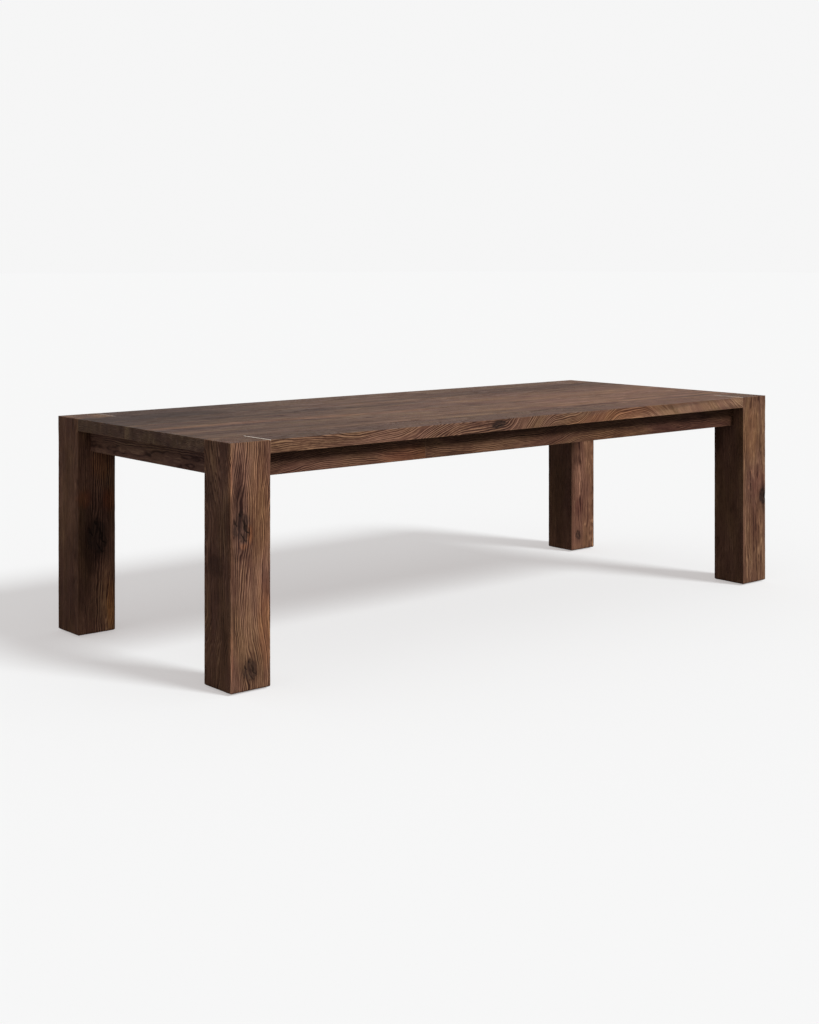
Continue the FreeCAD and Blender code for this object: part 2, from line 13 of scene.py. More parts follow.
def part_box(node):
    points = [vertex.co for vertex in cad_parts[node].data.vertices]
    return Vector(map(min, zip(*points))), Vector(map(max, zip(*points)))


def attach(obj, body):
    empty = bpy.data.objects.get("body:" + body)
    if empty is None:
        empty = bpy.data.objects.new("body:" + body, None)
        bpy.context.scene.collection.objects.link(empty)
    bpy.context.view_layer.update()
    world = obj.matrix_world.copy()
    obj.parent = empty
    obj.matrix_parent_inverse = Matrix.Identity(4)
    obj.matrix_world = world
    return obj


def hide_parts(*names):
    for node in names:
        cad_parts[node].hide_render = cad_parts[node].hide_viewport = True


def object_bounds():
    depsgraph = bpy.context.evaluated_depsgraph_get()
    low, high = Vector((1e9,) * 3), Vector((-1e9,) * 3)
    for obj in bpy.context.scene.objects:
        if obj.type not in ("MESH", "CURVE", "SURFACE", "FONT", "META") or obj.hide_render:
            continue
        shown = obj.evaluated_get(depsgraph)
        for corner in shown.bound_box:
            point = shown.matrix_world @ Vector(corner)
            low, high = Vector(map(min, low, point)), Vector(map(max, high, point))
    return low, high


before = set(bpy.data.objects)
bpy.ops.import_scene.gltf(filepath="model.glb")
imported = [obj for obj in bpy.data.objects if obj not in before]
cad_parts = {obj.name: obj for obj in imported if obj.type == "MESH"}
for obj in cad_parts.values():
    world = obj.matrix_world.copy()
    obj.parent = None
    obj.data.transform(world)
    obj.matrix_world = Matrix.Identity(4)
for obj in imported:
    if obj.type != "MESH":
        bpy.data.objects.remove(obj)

bl_info = {
    "name": "Parsons Dining Table",
    "version": (1, 0, 0),
    "blender": (4, 5, 0),
    "location": "3D View > Sidebar > Table",
    "description": "Finishes, fasteners and studio for a parsons dining table in smoked oak",
    "category": "Object",
}

TABLE_LOW, TABLE_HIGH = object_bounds()
HALF_LENGTH = TABLE_HIGH[0]
HALF_WIDTH = TABLE_HIGH[1]
TOP = TABLE_HIGH[2]
LEFT = -HALF_LENGTH
FRONT = -HALF_WIDTH
LEG_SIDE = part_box("leg_front_left")[1].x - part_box("leg_front_left")[0].x
INNER_X = HALF_LENGTH - LEG_SIDE
INNER_Y = HALF_WIDTH - LEG_SIDE

# How a board is turned so that its grain runs along X in its own wood space.
ALONG_X = Euler((0, 0, 0))
ALONG_Y = Euler((0, 0, -math.pi / 2))
ALONG_Z = Euler((0, math.pi / 2, 0))

# What a socket of each kind starts from.
NUMBER = 0.0
VECTOR = (0.0, 0.0, 0.0)
COLOUR = (0.0, 0.0, 0.0, 1.0)


def linear(red, green, blue):
    """A colour given in screen values of 0 to 255, as the linear colour that a shader takes."""
    screen = Color((red / 255, green / 255, blue / 255))
    return (*screen.from_srgb_to_scene_linear(), 1.0)


# ---- sizes and colours that a user may change ----

def colour(name, description, default):
    """A colour setting with a swatch."""
    return bpy.props.FloatVectorProperty(name=name, description=description, subtype="COLOR", size=4,
                                         min=0, max=1, default=default)


def number(name, description, default, **limits):
    """A number setting, at least 0."""
    return bpy.props.FloatProperty(name=name, description=description, default=default, min=0, **limits)


def length(name, description, default):
    """A length setting."""
    return number(name, description, default, unit="LENGTH", precision=5)


def angle(name, description, degrees):
    """An angle setting, with its default in degrees."""
    return number(name, description, math.radians(degrees), subtype="ANGLE")


class TableFinish(bpy.types.PropertyGroup):
    """Colours and grain of the smoked oak."""

    pore_tone: colour("Pores", "Dark open pores of the early growth", linear(37, 23, 17))
    deep_tone: colour("Deep", "Darker wood between the growth lines", linear(66, 43, 34))
    wood_tone: colour("Wood", "Body colour of the smoked oak", linear(104, 74, 58))
    light_tone: colour("Light", "Raised late growth, where the smoke took least", linear(148, 113, 88))
    knot_tone: colour("Knots", "Heart of a knot", linear(44, 33, 29))
    check_tone: colour("Checks", "Cracks in the heart of a knot", linear(17, 11, 8))
    ring_spacing: length("Ring spacing", "Distance between two growth rings", 0.0050)
    wander: length("Wander", "How far the grain strays over a hand's width", 0.030)
    ripple: length("Ripple", "How far the grain ripples over a finger's width", 0.0050)


class StageLook(bpy.types.PropertyGroup):
    """Light, floor and backdrop."""

    key_strength: number("Key", "Strength of the key light", 3.14)
    key_height: angle("Key height", "Angle of the key light above the floor", 39)
    key_swing: angle("Key swing", "Turn of the key light from straight in front, towards the right", 20)
    key_softness: angle("Key softness", "Angle that the key light fills", 16)
    room_strength: number("Room", "Strength of the light from all round", 0.42)
    backdrop: colour("Backdrop", "Colour of the backdrop", (0.92, 0.92, 0.92, 1.0))
    floor_tone: colour("Floor", "Colour of the floor under the lamps", (0.455, 0.4835, 0.490, 1.0))
    floor_glow: number("Floor lift", "Light of its own that keeps the floor pale in a shadow", 0.445)


# ---- shader nodes ----

class Net:
    """Adds shader nodes to a node tree, each fed by other nodes, by their sockets or by plain values."""

    def __init__(self, tree, exits=None):
        self.tree = tree
        self.exits = exits
        self.made = 0

    def feed(self, socket, value):
        """Give a socket its link or its value. A node stands for its first output."""
        if isinstance(value, bpy.types.Node):
            value = value.outputs[0]
        if isinstance(value, bpy.types.NodeSocket):
            self.tree.links.new(value, socket)
        else:
            socket.default_value = value

    def node(self, kind, inputs=(), **settings):
        """Add a node, set it up and feed its inputs, given by socket name or number."""
        added = self.tree.nodes.new("ShaderNode" + kind)
        added.location = (220 * (self.made % 10), -340 * (self.made // 10))
        self.made += 1
        for name, value in settings.items():
            setattr(added, name, value)
        for key, value in dict(inputs).items():
            self.feed(added.inputs[key], value)
        return added

    def group(self, tree, **inputs):
        """Place a shared group, its inputs given by socket name with _ for a space."""
        spaced = {name.replace("_", " "): value for name, value in inputs.items()}
        return self.node("Group", spaced, node_tree=tree).outputs

    def give(self, **values):
        """Feed the exits of a group."""
        for name, value in values.items():
            self.feed(self.exits[name], value)

    def math(self, operation, *values):
        """One step of arithmetic."""
        return self.node("Math", enumerate(values), operation=operation)

    def times(self, first, second):
        """A product."""
        return self.math("MULTIPLY", first, second)

    def less(self, first, second):
        """A difference."""
        return self.math("SUBTRACT", first, second)

    def line(self, value, slope, start):
        """A value times a slope, from a start."""
        return self.math("MULTIPLY_ADD", value, slope, start)

    def vector(self, operation, *values):
        """One step of arithmetic on vectors."""
        return self.node("VectorMath", enumerate(values), operation=operation)

    def scaled(self, vector, factor):
        """A vector times a number."""
        return self.node("VectorMath", {0: vector, "Scale": factor}, operation="SCALE")

    def drawn(self, vector, along, across):
        """A vector scaled by one factor along X and by another across it."""
        return self.vector("MULTIPLY", vector, (along, across, across))

    def span(self, vector):
        """The length of a vector."""
        return self.node("VectorMath", {0: vector}, operation="LENGTH").outputs["Value"]

    def smooth(self, value, start, end):
        """A soft step from 0 at the start to 1 at the end."""
        return self.node("MapRange", {"Value": value, "From Min": start, "From Max": end},
                         interpolation_type="SMOOTHSTEP")

    def noise(self, vector, detail=2.0, roughness=0.5):
        """Noise from 0 to 1, with cells one unit of the vector wide."""
        return self.node("TexNoise", {"Vector": vector, "Scale": 1.0, "Detail": detail,
                                      "Roughness": roughness})

    def drift(self, vector, detail=2.0):
        """Noise as a vector about zero."""
        found = self.node("TexNoise", {"Vector": vector, "Scale": 1.0, "Detail": detail})
        return self.vector("SUBTRACT", found.outputs["Color"], (0.5, 0.5, 0.5))

    def mix(self, factor, first, second, blend="MIX"):
        """Two colours blended."""
        mixer = self.node("Mix", {"Factor": factor}, data_type="RGBA", blend_type=blend)
        self.feed(mixer.inputs[6], first)
        self.feed(mixer.inputs[7], second)
        return mixer.outputs[2]


def new_group(name, inputs, outputs):
    """Start a shader node group, and return its net and its entries.

    Its inputs and outputs are given as the names of its sockets, each with a value of its kind, from which an
    input starts. Every group has a Vector entry as well.
    """
    tree = bpy.data.node_groups.new(name, "ShaderNodeTree")
    kinds = {float: "NodeSocketFloat", 3: "NodeSocketVector", 4: "NodeSocketColor"}
    for way, sockets in (("INPUT", {"Vector": VECTOR, **inputs}), ("OUTPUT", outputs)):
        for title, start in sockets.items():
            kind = kinds[len(start) if isinstance(start, tuple) else float]
            socket = tree.interface.new_socket(title, in_out=way, socket_type=kind)
            socket.default_value = start
    entries = tree.nodes.new("NodeGroupInput")
    exits = tree.nodes.new("NodeGroupOutput")
    return Net(tree, exits.inputs), entries.outputs


def growth_rings_group():
    """Growth rings about the X axis, straying and rippling along the grain."""
    net, given = new_group("Growth Rings", {"Spacing": 0.006, "Wander": 0.02, "Ripple": 0.003},
                           {"Trough": NUMBER, "Crest": NUMBER, "Flow": VECTOR})
    place = given["Vector"]
    stray = net.scaled(net.drift(net.drawn(place, 2.4, 9)), given["Wander"])
    wave = net.scaled(net.drift(net.drawn(place, 22, 26), 1), given["Ripple"])
    flow = net.vector("ADD", net.vector("ADD", place, stray), wave)
    radius = net.span(net.drawn(flow, 0, 1))
    climate = net.noise(net.drawn(flow, 1.5, 45), 1)
    age = net.line(climate, 2.6, net.math("DIVIDE", radius, given["Spacing"]))
    season = net.math("FRACT", age)
    year = net.node("TexWhiteNoise", {"W": net.math("FLOOR", age)}, noise_dimensions="1D")
    depth = net.line(year.outputs["Value"], 0.8, 0.15)
    trough = net.times(net.smooth(season, 0.0, 0.16), net.smooth(season, 0.44, 0.22))
    crest = net.times(net.smooth(season, 0.40, 0.56), net.smooth(season, 0.88, 0.66))
    net.give(Trough=net.times(trough, depth), Crest=net.times(crest, depth), Flow=flow)
    return net.tree


def fibres_group():
    """Long streaks, fine fibres, and open pores along X."""
    names = ("Streak", "Thread", "Broken", "Fine", "Pores")
    net, given = new_group("Fibres", {}, dict.fromkeys(names, NUMBER))

    def fibre(along, across, detail, roughness=0.5):
        return net.noise(net.drawn(given["Vector"], along, across), detail, roughness)

    vessels = net.smooth(fibre(30, 330, 1), 0.56, 0.66)
    pricks = net.smooth(fibre(60, 1000, 1), 0.58, 0.68)
    net.give(Streak=fibre(4, 90, 3, 0.65), Thread=fibre(15, 240, 2, 0.6), Broken=fibre(14, 60, 2, 0.6),
             Fine=fibre(42, 400, 3, 0.65), Pores=net.math("MAXIMUM", vessels, net.times(pricks, 0.7)))
    return net.tree


def oak_group():
    """Brushed oak in wood space: its colour, its relief, and how open its grain is."""
    net, given = new_group(
        "Brushed Oak",
        {"Spacing": 0.006, "Wander": 0.02, "Ripple": 0.003, "Contrast": 1.0, "Bands": 0.3, "Mottle": 0.5,
         "Pore Tone": COLOUR, "Deep Tone": COLOUR, "Wood Tone": COLOUR, "Light Tone": COLOUR},
        {"Color": COLOUR, "Height": NUMBER, "Grain": NUMBER})
    passed_on = {name: given[name] for name in ("Vector", "Spacing", "Wander", "Ripple")}
    grown = net.group(growth_rings_group(), **passed_on)
    flow = grown["Flow"]
    thread = net.group(fibres_group(), Vector=flow)
    ridge = net.line(grown["Crest"], 0.70, net.times(grown["Trough"], -0.95))
    grain = net.times(ridge, net.line(net.smooth(thread["Broken"], 0.3, 0.6), 0.75, 0.25))
    for fibre, weight in (("Streak", 0.4), ("Thread", 0.5), ("Fine", 0.5)):
        grain = net.line(thread[fibre], weight, grain)
    grain = net.less(grain, 0.70)
    cloud = net.noise(net.drawn(flow, 6, 20), 3, 0.6)
    band = net.noise(net.drawn(flow, 1.1, 24), 2, 0.55)
    shade = net.line(grain, given["Contrast"], 0.5)
    shade = net.line(net.less(cloud, 0.5), given["Mottle"], shade)
    shade = net.line(net.less(band, 0.5), given["Bands"], shade)
    body = net.mix(net.smooth(shade, 0.05, 0.5), given["Deep Tone"], given["Wood Tone"])
    body = net.mix(net.smooth(shade, 0.48, 0.95), body, given["Light Tone"])
    blush = net.noise(net.drawn(flow, 4, 14), 2)
    warm = net.mix(net.smooth(blush, 0.3, 0.7), (0.97, 0.915, 0.98, 1.0), (1.05, 1.065, 0.94, 1.0))
    body = net.mix(1.0, body, warm, "MULTIPLY")
    open_grain = net.times(thread["Pores"], net.line(grown["Trough"], 0.7, 0.3))
    body = net.mix(net.times(open_grain, 0.75), body, given["Pore Tone"])
    net.give(Color=body, Height=net.less(grain, net.times(open_grain, 0.5)), Grain=grain)
    return net.tree


def knot_group():
    """A knot: the push it gives to the grain around it, its heart, its halo and its cracks."""
    net, given = new_group(
        "Knot", {"Centre": VECTOR, "Radius": 0.02, "Stretch": 1.4, "Sweep": 1.6},
        {"Push": VECTOR, **dict.fromkeys(("Heart", "Halo", "Bark", "Checks"), NUMBER)})
    offset = net.vector("SUBTRACT", given["Vector"], given["Centre"])
    unit = net.scaled(offset, net.math("DIVIDE", 1.0, given["Radius"]))
    parts = net.node("SeparateXYZ", {0: unit}).outputs

    def flattened(along):
        return net.node("CombineXYZ", {"X": along, "Y": parts["Y"], "Z": parts["Z"]})

    along = net.math("DIVIDE", parts["X"], given["Stretch"])
    near = flattened(along)
    ragged = net.vector("ADD", near, net.scaled(net.drift(net.scaled(near, 0.9), 3), 1.7))
    distance = net.span(ragged)
    wide = net.span(flattened(net.math("DIVIDE", along, given["Sweep"])))
    fade = net.math("EXPONENT", net.times(net.times(wide, wide), -0.2))
    across = net.drawn(unit, 0, 1)
    aside = net.scaled(across, net.math("DIVIDE", 1.0, net.math("ADD", net.span(across), 1.05)))
    heart = net.smooth(distance, 1.35, 0.7)
    rings = net.line(net.math("SINE", net.times(distance, 11.0)), 0.13, 0.87)
    rim = net.math("ABSOLUTE", net.less(distance, 1.0))
    barky = net.smooth(net.noise(net.scaled(near, 1.3)), 0.48, 0.6)
    slant = net.node("VectorMath", {0: near, 1: (0.7, 0.25, -0.7)}, operation="DOT_PRODUCT")
    wriggle = net.times(net.noise(net.scaled(near, 1.2), 2), 1.6)
    turn = net.math("FRACT", net.line(slant.outputs["Value"], 1.3, wriggle))
    split = net.smooth(net.math("ABSOLUTE", net.less(turn, 0.5)), 0.17, 0.04)
    open_part = net.smooth(net.noise(net.scaled(near, 1.1)), 0.46, 0.54)
    net.give(Push=net.scaled(aside, net.times(fade, given["Radius"])), Heart=net.times(heart, rings),
             Halo=net.smooth(distance, 3.0, 0.7), Bark=net.times(net.smooth(rim, 0.22, 0.04), barky),
             Checks=net.times(net.times(split, open_part), heart))
    return net.tree


def patch_group():
    """A soft-edged cloud of a given half size, for sapwood, smoke marks, golden or dark places, and painted
    shade on the legs.
    """
    net, given = new_group("Patch", {"Centre": VECTOR, "Half Size": (0.1, 0.05, 0.05)}, {"Mask": NUMBER})
    offset = net.vector("SUBTRACT", given["Vector"], given["Centre"])
    unit = net.vector("DIVIDE", offset, given["Half Size"])
    ragged = net.vector("ADD", unit, net.scaled(net.drift(net.scaled(unit, 1.7), 4), 1.1))
    net.give(Mask=net.smooth(net.span(ragged), 1.25, 0.35))
    return net.tree


def edge_wear_group():
    """Where a box-shaped piece is rubbed: close to its edges, more in some places than in others."""
    net, given = new_group("Edge Wear", {"Middle": VECTOR, "Half Size": (1.0, 1.0, 1.0), "Reach": 0.003},
                           {"Wear": NUMBER})
    from_middle = net.vector("ABSOLUTE", net.vector("SUBTRACT", given["Vector"], given["Middle"]))
    inside = net.vector("SUBTRACT", given["Half Size"], from_middle)
    x, y, z = net.node("SeparateXYZ", {0: inside}).outputs
    pairs = [net.math("MAXIMUM", first, second) for first, second in ((x, y), (y, z), (z, x))]
    to_edge = net.math("MINIMUM", net.math("MINIMUM", pairs[0], pairs[1]), pairs[2])
    patchy = net.smooth(net.noise(net.scaled(given["Vector"], 28), 2), 0.35, 0.65)
    net.give(Wear=net.times(net.smooth(to_edge, given["Reach"], 0.0), patchy))
    return net.tree


@functools.cache
def shared(maker):
    """The shader node group that a function makes, built once for all materials."""
    return maker()


def new_material(name):
    """An empty material with its net and its object coordinates."""
    material = bpy.data.materials.new(name)
    material.use_nodes = True
    material.node_tree.nodes.clear()
    net = Net(material.node_tree)
    place = net.node("TexCoord").outputs["Object"]
    return material, net, place


def finish_surface(net, colour, roughness, height, depth, metallic=0.0, specular=0.5):
    """Close a material with a surface shader. The height, in 0 to 1, has its full depth in metres."""
    normal = net.node("Bump", {"Height": height, "Distance": depth, "Strength": 1.0})
    shader = net.node("BsdfPrincipled", {"Base Color": colour, "Roughness": roughness, "Metallic": metallic,
                                         "Specular IOR Level": specular, "Normal": normal})
    net.node("OutputMaterial", {"Surface": shader})


# ---- modelling ----

# How close two places are when they count as one.
TOUCH = 1e-5

# How much longer the carved relief is along the grain than across it, and where its noise starts.
GRAIN_DRAW = 6.0
RELIEF_START = (0.137, 0.219, 0.083)


def pick(*pieces):
    """Select these pieces and nothing else, with the last one active."""
    bpy.ops.object.select_all(action="DESELECT")
    for piece in pieces:
        piece.select_set(True)
    bpy.context.view_layer.objects.active = pieces[-1]


def start_block(name, low, high):
    """A block between two corners, with its place in its mesh."""
    bpy.ops.mesh.primitive_cube_add(size=1, location=(low + high) / 2, scale=high - low)
    bpy.ops.object.transform_apply()
    block = bpy.context.object
    block.name = name
    block.data.name = name
    return block


def edit_edges(piece, wanted, operator, **settings):
    """Run one edit-mode operator on the edges whose two ends pass a test."""
    bpy.ops.object.mode_set(mode="EDIT")
    bpy.ops.mesh.select_mode(type="EDGE")
    bpy.ops.mesh.select_all(action="DESELECT")
    bpy.ops.object.mode_set(mode="OBJECT")
    points = piece.data.vertices
    for edge in piece.data.edges:
        edge.select = wanted(*(points[index].co for index in edge.vertices))
    bpy.ops.object.mode_set(mode="EDIT")
    operator(**settings)
    bpy.ops.object.mode_set(mode="OBJECT")


def bevel(piece, wanted, size, segments=1):
    """Bevel the edges that pass a test."""
    edit_edges(piece, wanted, bpy.ops.mesh.bevel, offset=size, segments=segments)


def runs_along(axis, shortest):
    """A test for edges that run along an axis and are at least so long."""
    def wanted(first, second):
        span = second - first
        return abs(span[axis]) >= shortest and abs(span[axis]) > 0.98 * span.length
    return wanted


def lies_above(height):
    """A test for edges that lie above a height."""
    def wanted(first, second):
        return min(first.z, second.z) > height
    return wanted


def cut_cells(piece, cells, shortest):
    """Cut a block into so many cells along X, Y and Z, so that its faces can take relief."""
    for axis in range(3):
        along = runs_along(axis, shortest[axis])
        edit_edges(piece, along, bpy.ops.mesh.subdivide, number_cuts=cells[axis] - 1)


def weigh(piece, name, weight):
    """A vertex group with a weight from 0 to 1 worked out at each point."""
    group = piece.vertex_groups.new(name=name)
    for point in piece.data.vertices:
        group.add([point.index], weight(point.co), "REPLACE")


def carve(piece, name, group, depth, grain, cell):
    """Sink a piece's faces by up to a depth, in a noise that is drawn out along its grain."""
    noise = bpy.data.textures.new(name, "CLOUDS")
    noise.noise_scale = 1.0
    noise.noise_depth = 2
    bpy.ops.object.empty_add(location=RELIEF_START)
    guide = bpy.context.object
    guide.scale = [cell * (GRAIN_DRAW if axis == grain else 1.0) for axis in range(3)]
    bpy.context.view_layer.update()
    pick(piece)
    modifier = piece.modifiers.new(name, "DISPLACE")
    modifier.texture = noise
    modifier.texture_coords = "OBJECT"
    modifier.texture_coords_object = guide
    modifier.vertex_group = group
    modifier.mid_level = 1.0
    modifier.strength = depth
    bpy.ops.object.modifier_apply(modifier=name)
    bpy.data.objects.remove(guide)
    bpy.data.textures.remove(noise)


def settle(piece, node, material):
    """Give a finished piece its material, and put it in the place of its CAD node."""
    pick(piece)
    bpy.ops.object.shade_smooth_by_angle(angle=math.radians(40))
    piece.data.materials.append(material)
    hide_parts(node)
    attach(piece, "root")


def ramp(value, start, end):
    """A straight rise from 0 at the start to 1 at the end."""
    return min(1.0, max(0.0, (value - start) / (end - start)))


def dress(node, material):
    """Give a CAD node its material."""
    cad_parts[node].data.materials.clear()
    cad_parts[node].data.materials.append(material)


# ---- smoked oak ----

# Tints that a patch or a board multiplies its wood by.
PLAIN = (1.0, 1.0, 1.0, 1.0)
AMBER = (1.35, 1.12, 0.82, 1.0)
ASH = (0.87, 1.00, 1.10, 1.0)
DARK = (0.50, 0.48, 0.50, 1.0)
DUSK = (0.50, 0.48, 0.52, 1.0)
FADED = (1.15, 1.30, 1.35, 1.0)
GOLD = (1.75, 1.38, 0.95, 1.0)
HONEY = (1.28, 1.22, 1.08, 1.0)
PALE = (1.75, 1.66, 1.52, 1.0)
PLUM = (0.80, 0.70, 0.74, 1.0)
ROSE = (1.38, 1.27, 1.22, 1.0)
RUST = (1.20, 0.88, 0.70, 1.0)
SMOKE = (0.50, 0.42, 0.36, 1.0)
# The table top's face, the leg heads included, is tinted darker and greyer: painted sheen for how the top
# looks at a grazing angle.
TOP_SHEEN_TINT = (0.70, 0.735, 0.745, 1.0)

# How deep the relief of the grain is, and how far from an edge a piece is rubbed.
GRAIN_DEPTH = 0.0007
WEAR_REACH = 0.0035


class Board:
    """A board's wood space: its grain along X, and the pith of its tree on the X axis."""

    def __init__(self, node, turn, from_pith):
        low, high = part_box(node)
        self.turn = turn
        self.middle = (low + high) / 2
        self.half = (high - low) / 2
        middle = self.middle.copy()
        middle.rotate(turn)
        self.shift = Vector(from_pith) - middle

    def wood(self, place):
        """A place on the table, in this board's wood space."""
        turned = Vector(place)
        turned.rotate(self.turn)
        return turned + self.shift

    def along(self, distance):
        """A distance from the board's middle along its grain, in wood space."""
        return self.wood(self.middle).x + distance

    def wood_size(self, size):
        """A size along the table's axes, as a size in wood space."""
        turned = Vector(size)
        turned.rotate(self.turn)
        return Vector([abs(part) for part in turned])


def oak_material(name, board, knots=(), bends=(), leans=(), patches=(), marks=(), calm=(), contrast=1.0,
                 top_contrast=0.42, bands=0.3, mottle=0.6, gloss=0.06, roughness=0.6, spacing=1.0, ripple=1.0,
                 wander=1.0, tint=PLAIN):
    """Smoked oak for one board.

    knots are (place, radius, stretch, sweep, depth of colour), and bends are the same with no colour, for
    grain that turns round a hidden knot. leans are (start, end, step): the grain steps across by so much over
    a stretch that is measured from the board's middle. patches are (place, half size, tint, strength), and
    marks are the same on the table top alone. calm places are (place, half size, share), with grain that is
    fainter by that share. top_contrast is the contrast on the table top.
    """
    look = bpy.context.scene.table_finish
    material, net, place = new_material(name)
    wood = net.node("Mapping", {"Vector": place, "Location": board.shift, "Rotation": board.turn})
    grown = wood
    along = net.node("SeparateXYZ", {0: wood}).outputs["X"]
    for start, end, step in leans:
        share = net.smooth(along, board.along(start), board.along(end))
        grown = net.vector("ADD", grown, net.scaled((0.0, 0.0, step), share))
    hearts = []
    for centre, radius, stretch, sweep, depth in (*knots, *bends):
        found = net.group(shared(knot_group), Vector=wood, Centre=board.wood(centre), Radius=radius,
                          Stretch=stretch, Sweep=sweep)
        grown = net.vector("SUBTRACT", grown, found["Push"])
        if depth > 0:
            hearts.append((found, depth))

    def cloud(centre, half_size):
        return net.group(shared(patch_group), Vector=wood, Centre=board.wood(centre),
                         Half_Size=board.wood_size(half_size))["Mask"]

    def tinted(shade, clouds):
        for centre, half_size, cloud_tint, strength in clouds:
            shade = net.mix(net.times(cloud(centre, half_size), strength), shade, cloud_tint, "MULTIPLY")
        return shade

    height_above = net.node("SeparateXYZ", {0: place}).outputs["Z"]
    on_top = net.smooth(height_above, TOP - 0.0012, TOP - 0.0002)
    relief = net.line(on_top, top_contrast - contrast, contrast)
    for centre, half_size, share in calm:
        relief = net.times(relief, net.line(cloud(centre, half_size), -share, 1.0))
    oak = net.group(shared(oak_group), Vector=grown, Spacing=look.ring_spacing * spacing,
                    Wander=look.wander * wander, Ripple=look.ripple * ripple, Contrast=relief, Bands=bands,
                    Mottle=mottle, Pore_Tone=look.pore_tone, Deep_Tone=look.deep_tone,
                    Wood_Tone=look.wood_tone, Light_Tone=look.light_tone)
    shade = tinted(net.mix(1.0, oak["Color"], tint, "MULTIPLY"), patches)
    # Painted sheen: the top face takes the darker, greyer top tint, and then its marks.
    sheen_and_marks = tinted(net.mix(1.0, shade, TOP_SHEEN_TINT, "MULTIPLY"), marks)
    shade = net.mix(on_top, shade, sheen_and_marks)
    height = oak["Height"]
    for found, depth in hearts:
        shade = net.mix(net.times(found["Halo"], 0.75 * depth), shade, DUSK, "MULTIPLY")
        core = net.mix(0.15, look.knot_tone, shade)
        shade = net.mix(net.times(found["Heart"], depth), shade, core)
        shade = net.mix(net.times(found["Bark"], 0.7 * depth), shade, look.check_tone)
        checks = net.times(found["Checks"], depth)
        shade = net.mix(checks, shade, look.check_tone)
        height = net.less(height, checks)
    wear = net.group(shared(edge_wear_group), Vector=place, Middle=board.middle, Half_Size=board.half,
                     Reach=WEAR_REACH)["Wear"]
    shade = net.mix(net.times(wear, 0.5), shade, look.light_tone)
    matt = net.line(oak["Grain"], -0.16, roughness)
    finish_surface(net, shade, matt, height, GRAIN_DEPTH, specular=gloss)
    return material


# ---- legs ----

FOOT_ROUNDING = 0.008
SEAM_DEPTH = 0.002
HEAD_BEVEL = 0.0008
ARRIS = 0.0012
KNOT_HOLLOW = 0.0035

# A leg's relief fades out between these heights, so that its head stays flat beside the top.
FLAT_ABOVE = 0.722
FULL_BELOW = 0.690
